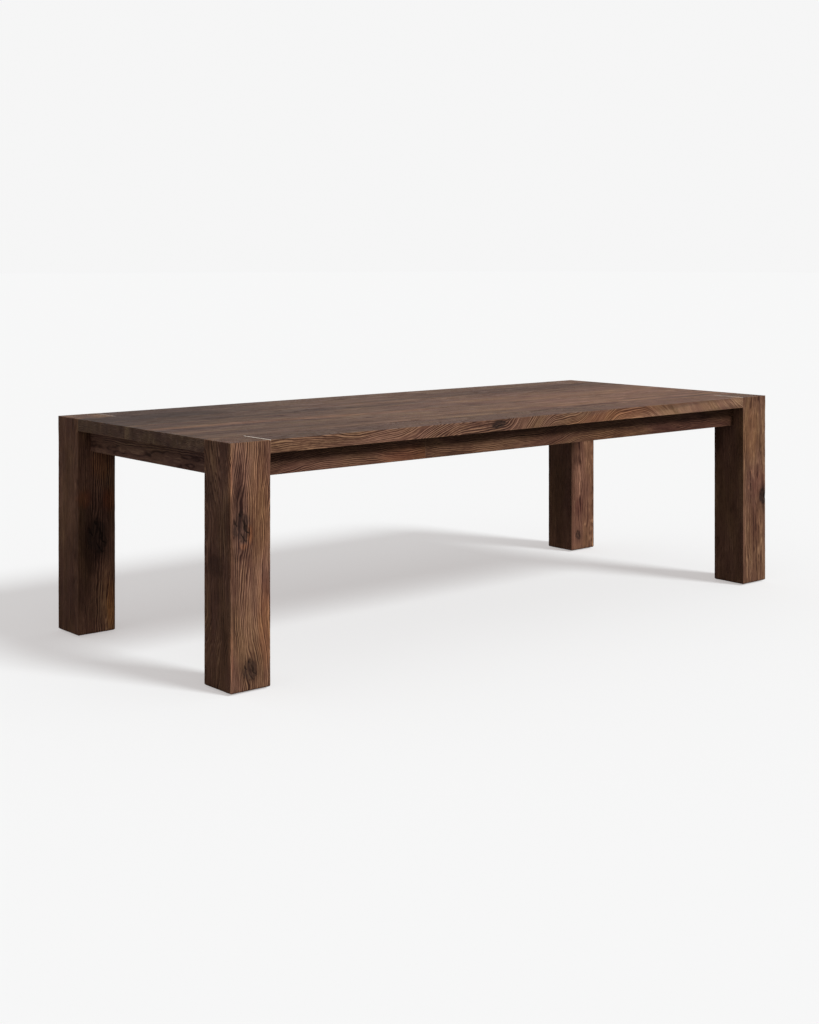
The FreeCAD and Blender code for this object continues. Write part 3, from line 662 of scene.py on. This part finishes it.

# Each leg is from its own tree: where its middle is from the pith, and how its oak looks. Its spots are
# patches on the face that looks to the front, given as rows of x, z, half size, tint and strength.
# The dark patches on the faces that look to the left are painted shade.
LEGS = {
    "leg_front_left": dict(
        from_pith=(0.40, -0.150, 0.210), contrast=1.6, bands=0.7, mottle=1.1, spacing=0.85,
        tint=(0.96, 0.945, 0.97, 1.0), leans=[(0.14, 0.42, 0.025), (-0.30, -0.15, -0.015)],
        calm=[((LEFT, -0.48, 0.38), (0.010, 0.4, 1.5), 0.6),
              ((-1.23, FRONT, 0.22), (0.30, 0.2, 0.34), 0.45)],
        knots=[((-1.272, FRONT, 0.505), 0.028, 1.6, 2.2, 0.82),
               ((-1.240, FRONT, 0.068), 0.022, 1.4, 1.4, 0.70)],
        spots=[
            (-1.240, 0.480, (0.012, 0.03, 0.035), GOLD, 0.6),
            (-1.262, 0.445, (0.016, 0.03, 0.012), GOLD, 0.5),
            (-1.278, 0.425, (0.040, 0.03, 0.025), DARK, 0.6),
            (-1.276, 0.590, (0.032, 0.03, 0.05), DARK, 0.6),
            (-1.284, 0.640, (0.020, 0.03, 0.11), DARK, 0.9),
            (-1.308, 0.670, (0.005, 0.02, 0.09), PALE, 0.8),
            (-1.307, 0.120, (0.008, 0.02, 0.10), PALE, 0.6),
            (-1.243, 0.075, (0.050, 0.03, 0.05), DARK, 0.5),
            (-1.200, 0.570, (0.060, 0.03, 0.20), HONEY, 0.75),
            (-1.180, 0.200, (0.035, 0.03, 0.16), GOLD, 0.35),
            (-1.225, 0.300, (0.012, 0.03, 0.10), DARK, 0.3),
            (-1.296, 0.215, (0.004, 0.02, 0.06), DARK, 0.9),
            (-1.287, 0.170, (0.003, 0.02, 0.05), DARK, 0.9),
            (-1.310, 0.350, (0.035, 0.03, 0.16), DARK, 0.5)],
        # The two dark patches towards the back of the face that looks left are painted shade.
        patches=[((LEFT, -0.435, 0.610), (0.030, 0.035, 0.07), DARK, 0.8),
                 ((LEFT, -0.465, 0.382), (0.030, 0.050, 0.045), DARK, 0.8),
                 ((LEFT, -0.545, 0.500), (0.012, 0.012, 0.24), HONEY, 0.8)]),
    "leg_back_left": dict(
        from_pith=(1.70, 0.075, 0.035), contrast=0.9, mottle=1.1, tint=(1.05, 1.02, 1.02, 1.0),
        calm=[((LEFT, 0.48, 0.38), (0.010, 0.4, 1.5), 0.5)],
        knots=[((-1.236, INNER_Y, 0.345), 0.034, 1.7, 2.4, 0.75)],
        spots=[
            (-1.190, 0.12, (0.035, 0.03, 0.16), PALE, 0.7),
            (-1.180, 0.09, (0.020, 0.03, 0.10), AMBER, 0.8),
            (-1.265, 0.34, (0.060, 0.03, 0.15), DARK, 0.9),
            (-1.290, 0.16, (0.030, 0.03, 0.10), DARK, 0.5),
            (-1.285, 0.48, (0.030, 0.03, 0.04), RUST, 0.8),
            (-1.190, 0.47, (0.030, 0.03, 0.05), RUST, 1.0),
            (-1.220, 0.60, (0.050, 0.03, 0.07), AMBER, 0.6)],
        # Painted shade: the face that looks left is darker towards its foot.
        patches=[((LEFT, 0.48, 0.12), (0.030, 0.10, 0.12), DARK, 0.5)]),
    "leg_back_right": dict(
        # This leg's lighter tint is partly its own paler wood and partly painted light, lifting a leg that
        # stands under the top.
        from_pith=(3.10, -0.19, 0.10), contrast=0.6, mottle=1.0, tint=(1.26, 1.22, 1.21, 1.0),
        calm=[((1.163, 0.48, 0.38), (0.010, 0.4, 1.5), 0.5)],
        knots=[((1.205, INNER_Y, 0.072), 0.014, 1.4, 1.5, 0.8)],
        spots=[
            (1.20, 0.41, (0.03, 0.03, 0.03), DARK, 0.6),
            (1.21, 0.20, (0.03, 0.03, 0.05), PLUM, 0.9)],
        # Painted shade over the whole face that looks left, which faces in under the top.
        patches=[((1.163, 0.48, 0.33), (0.03, 0.12, 0.40), DARK, 0.75)]),
    "leg_front_right": dict(
        from_pith=(4.60, -0.055, 0.030), contrast=0.85, mottle=1.0,
        calm=[((1.163, -0.48, 0.38), (0.010, 0.4, 1.5), 0.65)],
        knots=[((1.292, FRONT, 0.350), 0.018, 1.6, 1.8, 1.0)],
        spots=[
            (1.28, 0.40, (0.07, 0.03, 0.09), PLUM, 1.0),
            (1.29, 0.36, (0.03, 0.03, 0.05), DARK, 0.7),
            (1.24, 0.25, (0.05, 0.03, 0.10), PLUM, 0.7),
            (1.22, 0.455, (0.004, 0.02, 0.012), PALE, 1.0),
            (1.20, 0.395, (0.004, 0.02, 0.010), PALE, 1.0),
            (1.21, 0.62, (0.06, 0.03, 0.14), HONEY, 0.7)],
        # Painted shade towards the back of the face that looks left, up by the apron.
        patches=[((1.163, -0.43, 0.62), (0.03, 0.03, 0.10), DARK, 0.7)]),
}


def make_leg(node, from_pith, knots, spots, patches=(), **looks):
    """A post with a rounded foot, a bevel for the inlay at its head, worn arrises and a brushed face."""
    low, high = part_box(node)
    stained = [((x, low.y, z), half_size, tint, strength) for x, z, half_size, tint, strength in spots]
    material = oak_material(node.replace("leg", "leg_oak"), Board(node, ALONG_Z, from_pith), knots=knots,
                            patches=[*stained, *patches], **looks)
    seam = high.x if high.x < 0 else low.x
    at_head = lies_above(high.z - TOUCH)

    def at_foot(first, second):
        return max(first.z, second.z) < low.z + TOUCH

    def at_seam(first, second):
        return at_head(first, second) and max(abs(first.x - seam), abs(second.x - seam)) < TOUCH

    def round_head(first, second):
        return at_head(first, second) and abs(first.x + second.x) / 2 > INNER_X + SEAM_DEPTH + 1e-4

    leg = start_block(f"brushed_{node}", low, high)
    bevel(leg, at_foot, FOOT_ROUNDING, 4)
    bevel(leg, at_seam, SEAM_DEPTH)
    bevel(leg, round_head, HEAD_BEVEL)
    bevel(leg, runs_along(2, 0.5), ARRIS, 2)
    cut_cells(leg, (60, 60, 92), (0.1, 0.1, 0.3))
    weigh(leg, "faces", lambda place: 0.15 + 0.85 * ramp(place.z, FLAT_ABOVE, FULL_BELOW))
    carve(leg, "waves", "faces", 0.0010, 2, 0.030)
    carve(leg, "brushing", "faces", 0.0009, 2, 0.0055)
    for count, (centre, radius, *_) in enumerate(knots):
        group = f"knot_{count}"
        weigh(leg, group, lambda place: ramp((place - Vector(centre)).length, 1.25 * radius, 0.4 * radius))
        carve(leg, group, group, KNOT_HOLLOW, 0, 0.008)
    settle(leg, node, material)


class TABLE_OT_legs(bpy.types.Operator):
    """Smoked oak on the four legs, each from its own tree."""

    bl_idname = "table.legs"
    bl_label = "Legs"

    def execute(self, context):
        for node, looks in LEGS.items():
            make_leg(node, **looks)
        return {"FINISHED"}


# ---- top ----

BOARD_ARRIS = 0.0004

# How many cells a board is cut into along X, Y and Z, so that it can take relief.
EDGE_CELLS = (240, 50, 18)
INNER_CELLS = (200, 36, 8)

# Long streaks and dull places on the table top.
STREAKS = [
    ((-0.95, -0.070, TOP), (0.54, 0.034, 0.03), PALE, 1.0),
    ((-0.35, -0.105, TOP), (0.45, 0.030, 0.03), PALE, 0.85),
    ((-0.95, -0.122, TOP), (0.50, 0.007, 0.03), DARK, 0.7),
    ((-0.20, -0.360, TOP), (0.80, 0.160, 0.03), HONEY, 0.35),
    ((0.70, -0.048, TOP), (0.75, 0.014, 0.03), PALE, 0.5),
    ((0.35, -0.318, TOP), (0.22, 0.010, 0.03), PALE, 0.8),
    ((0.05, -0.360, TOP), (0.40, 0.030, 0.03), DARK, 0.3),
    ((-0.40, 0.120, TOP), (0.60, 0.040, 0.03), DARK, 0.4),
    ((-1.15, 0.320, TOP), (0.50, 0.320, 0.06), SMOKE, 1.0),
    ((0.85, 0.380, TOP), (0.90, 0.230, 0.06), SMOKE, 0.9),
    ((0.10, 0.280, TOP), (0.50, 0.030, 0.03), DARK, 0.4)]
BACK_MARKS = [
    ((-0.05, 0.478, TOP), (0.12, 0.018, 0.03), DARK, 0.6),
    ((-0.757, 0.500, TOP), (0.10, 0.018, 0.03), DARK, 0.6)]


def end_marks(y):
    """A duller left end, and a warmer right end towards the front."""
    return [((-1.25, y, TOP), (1.1, 0.25, 0.1), DARK, 0.40 + 1.2 * max(y, 0)),
            ((1.0, y, TOP), (1.1, 0.25, 0.1), ROSE, 0.95 - 2.0 * max(y, 0))]


def make_board(node, material, cells, bevelled_ends):
    """A board of the top with worn arrises and a brushed face, flat where it meets its neighbours."""
    low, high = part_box(node)
    at_top = lies_above(high.z - TOUCH)
    board = start_block(f"brushed_{node}", low, high)
    if bevelled_ends:
        bevel(board, lambda first, second: at_top(first, second) and first.x == second.x, SEAM_DEPTH)
    bevel(board, runs_along(0, 1.0), BOARD_ARRIS)
    cut_cells(board, cells, (1.0, 0.1, 0.03))

    def weight(place):
        on_edge = 1.0 if abs(place.y) > HALF_WIDTH - 0.004 else 0.0
        inside = 0.25 * ramp(min(place.y - low.y, high.y - place.y), 0.0, 0.012)
        return max(on_edge, inside) * ramp(min(place.x - low.x, high.x - place.x), 0.0, 0.02)

    weigh(board, "faces", weight)
    carve(board, "waves", "faces", 0.0009, 0, 0.030)
    carve(board, "brushing", "faces", 0.0008, 0, 0.0060)
    settle(board, node, material)


class TABLE_OT_top(bpy.types.Operator):
    """Smoked oak on the boards of the top."""

    bl_idname = "table.top"
    bl_label = "Top"

    def execute(self, context):
        board = Board("top_edge_board_front", Euler((0, math.radians(3), 0)), (0.3, 0.020, 0.700))
        oak = oak_material(
            "top_oak_front", board, contrast=2.0, top_contrast=0.25, bands=0.7, ripple=0.9, spacing=1.25,
            wander=1.6, tint=(0.93, 0.93, 0.96, 1.0), marks=end_marks(-0.48),
            knots=[((-0.196, FRONT, 0.746), 0.011, 2.8, 2.0, 1.0)],
            bends=[((-0.75, FRONT, 0.800), 0.060, 3.0, 1.0, 0.0),
                   ((-0.42, FRONT, 0.700), 0.050, 2.5, 1.0, 0.0)],
            leans=[(-1.00, -0.80, 0.025), (-0.66, -0.36, -0.060), (-0.17, 0.09, -0.170),
                   (0.18, 0.44, -0.150), (0.50, 1.25, 0.600)],
            patches=[((0.40, FRONT, 0.735), (0.30, 0.05, 0.045), AMBER, 0.6),
                     ((0.85, FRONT, 0.735), (0.50, 0.05, 0.045), PALE, 0.62),
                     ((0.85, FRONT, 0.735), (0.60, 0.05, 0.060), FADED, 1.0)],
            calm=[((1.00, FRONT, 0.741), (0.75, 0.20, 0.20), 0.45)])
        make_board("top_edge_board_front", oak, EDGE_CELLS, True)
        board = Board("top_edge_board_back", ALONG_X, (7.3, 0.05, 0.26))
        oak = oak_material("top_oak_back", board, contrast=0.9, top_contrast=0.25, bands=0.4,
                           marks=[*BACK_MARKS, *end_marks(0.48)])
        make_board("top_edge_board_back", oak, EDGE_CELLS, True)
        for count in range(1, 6):
            node = f"top_inner_board_{count}"
            from_pith = (3.7 * count, 0.04 * math.sin(2.4 * count), 0.26 + 0.03 * math.cos(count))
            board = Board(node, ALONG_X, from_pith)
            _, y, z = board.middle
            across = [mark for mark in (*STREAKS, *BACK_MARKS)
                      if abs(mark[0][1] - y) < board.half.y + 2 * mark[1][1]]
            oak = oak_material(
                f"top_oak_{count}", board, contrast=0.55, top_contrast=0.52 - 0.05 * count, ripple=0.4,
                bands=1.75 - 0.25 * count, patches=[((LEFT, y, z), (0.02, 0.30, 0.10), ASH, 1.0)],
                marks=[*across, *end_marks(y)])
            make_board(node, oak, INNER_CELLS, False)
        return {"FINISHED"}


# ---- aprons ----

APRON_PATCHES = {
    "front_apron_short": [((-0.56, -0.5, 0.665), (0.16, 0.04, 0.04), GOLD, 0.4)],
    "front_apron_long": [
        ((0.45, -0.5, 0.66), (0.25, 0.04, 0.03), HONEY, 0.5),
        ((0.10, -0.5, 0.67), (0.12, 0.04, 0.04), PLUM, 0.6),
        ((0.90, -0.5, 0.66), (0.35, 0.04, 0.06), PLUM, 0.9),
        ((0.95, -0.5, 0.66), (0.45, 0.04, 0.06), DARK, 0.35)],
}


class TABLE_OT_aprons(bpy.types.Operator):
    """Smoked oak on the apron frame."""

    bl_idname = "table.aprons"
    bl_label = "Aprons"

    def execute(self, context):
        long_aprons = ("front_apron_short", "front_apron_long", "back_apron_short", "back_apron_long")
        for count, node in enumerate(long_aprons, 1):
            board = Board(node, ALONG_X, (2.9 * count, -0.05, 0.20 + 0.01 * math.sin(3.0 * count)))
            leans = [(0.33 * turn, 0.33 * turn + 0.25, 0.05 * math.cos(5 * turn + count))
                     for turn in range(-4, 4)]
            side, part = node.split("_apron_")
            dress(node, oak_material(f"apron_oak_{side}_{part}", board, contrast=1.15, mottle=1.2, ripple=1.5,
                                     leans=leans, tint=(0.69, 0.65, 0.66, 1.0),
                                     patches=APRON_PATCHES.get(node, ())))
        for count, side in enumerate(("left", "right"), 5):
            node = f"end_apron_{side}"
            board = Board(node, ALONG_Y, (2.9 * count, 0.10, 0.03))
            dress(node, oak_material(f"apron_oak_{side}", board, contrast=0.75, mottle=0.35, wander=0.6,
                                     tint=(1.05, 1.08, 1.22, 1.0)))
        return {"FINISHED"}


# ---- inner frame, steel and nylon ----

class TABLE_OT_frame_wood(bpy.types.Operator):
    """Plain sawn oak on the bearers, blocks, buttons and splines, and maple inlays whose near-white tone is a
    painted highlight for the glint along the seams.
    """

    bl_idname = "table.frame_wood"
    bl_label = "Frame wood and inlays"

    def execute(self, context):
        across = ("cross_bearer", "long_apron_buttons")
        lengthwise = ("corner_block", "edge_splines", "end_apron_buttons", "inner_splines")
        nodes = [node for node in sorted(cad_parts) if node.startswith((*across, *lengthwise))]
        for count, node in enumerate(nodes, 1):
            turn = ALONG_Y if node.startswith(across) else ALONG_X
            board = Board(node, turn, (1.3 * count, 0.05 + 0.01 * count, 0.04))
            dress(node, oak_material(f"plain_{node}", board, roughness=0.75, gloss=0.2,
                                     tint=(2.1, 2.0, 1.8, 1.0)))
        dress("seam_inlays", inlay_glint_material())
        return {"FINISHED"}


def inlay_glint_material():
    """Close-grained maple for the inlays, its near-white tone a painted highlight for the glint along the
    seams, painted duller towards the back.
    """
    material, net, place = new_material("inlay_maple_glint")
    grain = net.noise(net.vector("MULTIPLY", place, (900, 30, 900)), 2, 0.6)
    clouds = net.noise(net.scaled(place, 60), 2)
    tone = net.mix(grain, linear(232, 220, 204), linear(250, 242, 230))
    tone = net.mix(net.times(clouds, 0.3), tone, linear(226, 206, 182))
    # Painted highlight: the glint along the seams is painted weaker towards the back.
    glint_fade_back = net.smooth(net.node("SeparateXYZ", {0: place}).outputs["Y"], 0.0, 0.3)
    tone = net.mix(net.times(glint_fade_back, 0.85), tone, linear(128, 106, 88))
    finish_surface(net, tone, net.line(clouds, 0.2, 0.4), grain, 0.0001)
    return material


def steel_material():
    """Zinc-plated steel with a faint spangle and rolled-in scratches."""
    material, net, place = new_material("zinc_steel")
    spangle = net.node("TexVoronoi", {"Vector": place, "Scale": 700.0}).outputs["Distance"]
    haze = net.noise(net.scaled(place, 220), 3, 0.6)
    tone = net.mix(haze, linear(150, 150, 146), linear(205, 204, 196))
    rough = net.line(spangle, 0.15, net.line(haze, 0.2, 0.22))
    finish_surface(net, tone, rough, haze, 0.0001, metallic=1.0)
    return material


def nylon_material():
    """Matt black-brown nylon with scuffs from the floor."""
    material, net, place = new_material("glide_nylon")
    scuffs = net.noise(net.vector("MULTIPLY", place, (90, 600, 300)), 4, 0.7)
    marks = net.smooth(scuffs, 0.52, 0.7)
    tone = net.mix(marks, linear(34, 31, 29), linear(92, 86, 80))
    finish_surface(net, tone, net.line(marks, 0.3, 0.5), scuffs, 0.0002)
    return material


class TABLE_OT_fixings(bpy.types.Operator):
    """Zinc on the lag bolts and washers, and nylon on the glides."""

    bl_idname = "table.fixings"
    bl_label = "Bolts, washers and glides"

    def execute(self, context):
        steel = steel_material()
        nylon = nylon_material()
        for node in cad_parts:
            if node.startswith("lag_"):
                dress(node, steel)
            if node.startswith("glide_"):
                dress(node, nylon)
        return {"FINISHED"}


# ---- screws ----

SCREW_RADIUS = 0.0045
SCREW_HEAD = 0.0022
SCREW_DOME = 0.0014

# The faces that the screws are in: the undersides of the bearers and buttons, and the backs of the laps.
BEARER_FACE = 0.690
BUTTON_FACE = 0.700
LAP_FACE = 0.475

# How far the pointed corners of a corner block are cut back from its box.
BLOCK_BLUNT = 0.012


def make_screw_head():
    """One pan head, standing on the XY plane and looking up, with a cross cut into it."""
    bpy.ops.mesh.primitive_cylinder_add(vertices=20, radius=SCREW_RADIUS, depth=SCREW_HEAD,
                                        location=(0, 0, SCREW_HEAD / 2))
    head = bpy.context.object
    bpy.ops.object.transform_apply()
    bevel(head, lies_above(SCREW_HEAD - 1e-6), SCREW_DOME, 4)
    for turn in (0, math.pi / 2):
        bpy.ops.mesh.primitive_cube_add(size=1, location=(0, 0, SCREW_HEAD), rotation=(0, 0, turn),
                                        scale=(0.0048, 0.0009, 0.0026))
        blade = bpy.context.object
        pick(head)
        cut = head.modifiers.new("cross", "BOOLEAN")
        cut.operation = "DIFFERENCE"
        cut.object = blade
        bpy.ops.object.modifier_apply(modifier=cut.name)
        bpy.data.objects.remove(blade)
    return head


def place_screws(name, places, material):
    """Copies of one screw head at several places, each with its own mesh, joined into one piece."""
    head = make_screw_head()
    copies = []
    for place, turn in places:
        copy = head.copy()
        copy.data = head.data.copy()
        bpy.context.scene.collection.objects.link(copy)
        copy.matrix_world = Matrix.Translation(place) @ turn.to_matrix().to_4x4()
        copies.append(copy)
    bpy.data.objects.remove(head)
    pick(*copies)
    bpy.ops.object.join()
    bpy.ops.object.transform_apply()
    screws = bpy.context.object
    screws.name = name
    bpy.ops.object.shade_smooth_by_angle(angle=math.radians(35))
    screws.data.materials.append(material)
    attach(screws, "root")


def looking_down(turn):
    """The turn of a screw whose head looks down."""
    return Euler((math.pi, 0, turn))


class TABLE_OT_screws(bpy.types.Operator):
    """Pan-head screws through the bearers, the buttons, the corner blocks and the laps of the long aprons."""

    bl_idname = "table.screws"
    bl_label = "Screws"

    def execute(self, context):
        steel = steel_material()
        bearers = [((x, 0.146 * count, BEARER_FACE), looking_down(0.7 * count))
                   for x in (-0.6, 0.0, 0.6) for count in range(-3, 4)]
        place_screws("bearer_screws", bearers, steel)
        buttons = [((x, y, BUTTON_FACE), looking_down(9 * x + y))
                   for x in (-0.9, -0.3, 0.3, 0.9) for y in (-0.452, 0.452)]
        buttons += [((x, y, BUTTON_FACE), looking_down(5 * x + y))
                    for x in (-1.210, 1.210) for y in (-0.162, 0.162)]
        place_screws("button_screws", buttons, steel)
        laps = [((side * x, -side * LAP_FACE, z), Euler((-side * math.pi / 2, 0, 0)))
                for side in (1, -1) for x, z in ((-0.473, 0.665), (-0.423, 0.700))]
        place_screws("lap_screws", laps, steel)
        low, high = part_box("corner_block_front_left")
        face_start = Vector((high.x, low.y + BLOCK_BLUNT, (low.z + high.z) / 2))
        face_end = Vector((low.x + BLOCK_BLUNT, high.y, face_start.z))
        blocks = []
        for side_x, side_y in ((1, 1), (1, -1), (-1, 1), (-1, -1)):
            outward = Vector((side_x, side_y, 0)).to_track_quat("Z", "Y").to_euler()
            for share in (0.14, 0.86):
                place = face_start.lerp(face_end, share)
                blocks.append(((side_x * place.x, side_y * place.y, place.z), outward))
        place_screws("block_screws", blocks, steel)
        return {"FINISHED"}


# ---- stage ----

# The camera: where its lens is, which way it looks, and how far the frame is raised on the lens.
CAMERA_PLACE = (-3.8726, -4.4224, 1.3004)
CAMERA_HEADING = -0.7011
CAMERA_LENS = 53.873
CAMERA_RISE = -0.2417

# What the floor throws back at the table, and the colour of its own light to the eye.
FLOOR_BOUNCE = (0.15, 0.15, 0.15, 1.0)
FLOOR_GLOW = (1.02, 0.955, 0.940, 1.0)


def make_camera():
    """A level camera with a raised lens, so that upright edges stay upright."""
    camera = bpy.data.cameras.new("camera")
    camera.lens = CAMERA_LENS
    camera.sensor_fit = "AUTO"
    camera.shift_y = CAMERA_RISE
    holder = bpy.data.objects.new("camera", camera)
    holder.location = CAMERA_PLACE
    holder.rotation_euler = (math.pi / 2, 0, CAMERA_HEADING)
    bpy.context.scene.collection.objects.link(holder)
    bpy.context.scene.camera = holder


def make_floor(look):
    """A wide pale floor that keeps the table's shadow, stays pale in it, and is clear from below."""
    bpy.ops.mesh.primitive_plane_add(size=400, location=(0, 0, -0.0005))
    floor = bpy.context.object
    floor.name = "floor"
    material, net, _ = new_material("floor")
    seen = net.node("LightPath").outputs["Is Camera Ray"]
    lit = net.node("BsdfDiffuse", {"Color": look.floor_tone})
    dull = net.node("BsdfDiffuse", {"Color": FLOOR_BOUNCE})
    glow = net.node("Emission", {"Color": FLOOR_GLOW, "Strength": look.floor_glow})
    bright = net.node("AddShader", {0: lit, 1: glow})
    shown = net.node("MixShader", {0: seen, 1: dull, 2: bright})
    below = net.node("NewGeometry").outputs["Backfacing"]
    shown = net.node("MixShader", {0: below, 1: shown, 2: net.node("BsdfTransparent")})
    net.node("OutputMaterial", {"Surface": shown})
    floor.data.materials.append(material)


def make_room(look):
    """An even room light, with a white backdrop behind it for the eye and for reflections."""
    world = bpy.data.worlds.new("room")
    bpy.context.scene.world = world
    world.use_nodes = True
    world.node_tree.nodes.clear()
    net = Net(world.node_tree)
    paths = net.node("LightPath").outputs
    mirrored = net.math("MAXIMUM", paths["Is Glossy Ray"], paths["Is Transmission Ray"])
    seen = net.math("MAXIMUM", paths["Is Camera Ray"], mirrored)
    room = net.node("Background", {"Color": (1, 1, 1, 1), "Strength": look.room_strength})
    backdrop = net.node("Background", {"Color": look.backdrop, "Strength": 1.0})
    net.node("OutputWorld", {"Surface": net.node("MixShader", {0: seen, 1: room, 2: backdrop})})


def make_key_light(look):
    """A broad, soft key light from high in front, a little to the right."""
    lamp = bpy.data.lights.new("key", "SUN")
    lamp.energy = look.key_strength
    lamp.angle = look.key_softness
    holder = bpy.data.objects.new("key", lamp)
    holder.rotation_euler = (math.pi / 2 - look.key_height, 0, look.key_swing)
    bpy.context.scene.collection.objects.link(holder)


class TABLE_OT_stage(bpy.types.Operator):
    """Camera, floor, room light and key light."""

    bl_idname = "table.stage"
    bl_label = "Stage"

    def execute(self, context):
        look = context.scene.stage_look
        make_camera()
        make_floor(look)
        make_room(look)
        make_key_light(look)
        context.scene.view_settings.view_transform = "Standard"
        return {"FINISHED"}


# ---- the add-on ----

class TABLE_PT_panel(bpy.types.Panel):
    """Lists the steps that dress the table."""

    bl_label = "Parsons Dining Table"
    bl_space_type = "VIEW_3D"
    bl_region_type = "UI"
    bl_category = "Table"

    def draw(self, context):
        for operator in OPERATORS:
            self.layout.operator(operator.bl_idname)
        for settings in (context.scene.table_finish, context.scene.stage_look):
            for name in settings.bl_rna.properties.keys():
                if name not in ("name", "rna_type"):
                    self.layout.prop(settings, name)


OPERATORS = (TABLE_OT_legs, TABLE_OT_top, TABLE_OT_aprons, TABLE_OT_frame_wood, TABLE_OT_fixings,
             TABLE_OT_screws, TABLE_OT_stage)
CLASSES = (TableFinish, StageLook, *OPERATORS, TABLE_PT_panel)


def register():
    """Register the classes and the scene's settings."""
    for item in CLASSES:
        bpy.utils.register_class(item)
    bpy.types.Scene.table_finish = bpy.props.PointerProperty(type=TableFinish)
    bpy.types.Scene.stage_look = bpy.props.PointerProperty(type=StageLook)


def unregister():
    """Take away what register added."""
    del bpy.types.Scene.stage_look
    del bpy.types.Scene.table_finish
    for item in reversed(CLASSES):
        bpy.utils.unregister_class(item)


def main():
    """Dress the table and set the stage."""
    register()
    bpy.ops.table.stage()
    bpy.ops.table.legs()
    bpy.ops.table.top()
    bpy.ops.table.aprons()
    bpy.ops.table.frame_wood()
    bpy.ops.table.fixings()
    bpy.ops.table.screws()


if __name__ == "__main__":
    main()
